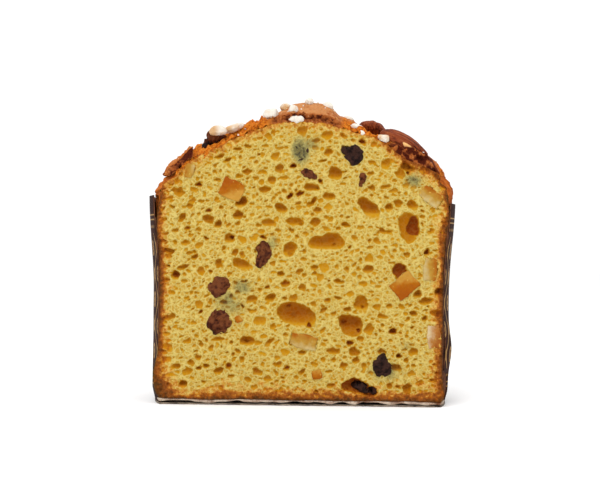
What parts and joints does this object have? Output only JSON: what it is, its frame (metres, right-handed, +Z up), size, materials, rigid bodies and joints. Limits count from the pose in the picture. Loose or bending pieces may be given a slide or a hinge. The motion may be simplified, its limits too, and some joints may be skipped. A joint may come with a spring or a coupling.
{
  "type": "cut panettone",
  "caption": "Domed sweet loaf with candied fruit in a round paper baking mould, cut open by one upright cut across its front.",
  "frame": {"origin": "the round mould's axis, on the underside of its base, where the part stands", "axes": "+Z up along the mould's axis, -Y out of the flat cut face, +X to the right of someone facing the cut"},
  "size_m": [0.1336, 0.0893, 0.1312],
  "materials": {
    "crumb": "matte egg-yellow crumb with open pores, brown baked crust outside",
    "glaze": "matte, brittle baked nut and sugar glaze, cracked",
    "almond": "matte brown skin with lengthwise wrinkles",
    "pearl_sugar": "white, slightly translucent pressed sugar",
    "raisin": "wrinkled, satin dark brown skin",
    "orange_peel": "glossy, translucent amber candied peel",
    "citron": "satin, translucent pale candied citron",
    "mould_paper": "dark brown printed paper with a gold ornament, corrugated inside",
    "liner_paper": "pale greased paper, creased"
  },
  "bodies": {
    "root": {"mould_wall": "mould_paper", "mould_base": "mould_paper", "base_liner": "liner_paper", "loaf": "crumb", "almond_glaze": "glaze", "glaze_flake": "glaze", "raisin_1": "raisin", "raisin_2": "raisin", "raisin_3": "raisin", "raisin_4": "raisin", "raisin_5": "raisin", "raisin_6": "raisin", "raisin_7": "raisin", "raisin_8": "raisin", "raisin_9": "raisin", "orange_peel_1": "orange_peel", "orange_peel_2": "orange_peel", "orange_peel_3": "orange_peel", "orange_peel_4": "orange_peel", "citron_1": "citron", "citron_2": "citron", "citron_3": "citron", "citron_4": "citron", "citron_5": "citron", "almond_1": "almond", "almond_2": "almond", "almond_3": "almond", "almond_4": "almond", "almond_5": "almond", "almond_6": "almond", "almond_7": "almond", "almond_8": "almond", "almond_9": "almond", "pearl_sugar_01": "pearl_sugar", "pearl_sugar_02": "pearl_sugar", "pearl_sugar_03": "pearl_sugar", "pearl_sugar_04": "pearl_sugar", "pearl_sugar_05": "pearl_sugar", "pearl_sugar_06": "pearl_sugar", "pearl_sugar_07": "pearl_sugar", "pearl_sugar_08": "pearl_sugar", "pearl_sugar_09": "pearl_sugar", "pearl_sugar_10": "pearl_sugar", "pearl_sugar_11": "pearl_sugar", "pearl_sugar_12": "pearl_sugar", "pearl_sugar_13": "pearl_sugar", "pearl_sugar_14": "pearl_sugar", "pearl_sugar_15": "pearl_sugar", "pearl_sugar_16": "pearl_sugar", "baked_raisin": "raisin"}
  },
  "joints": []
}
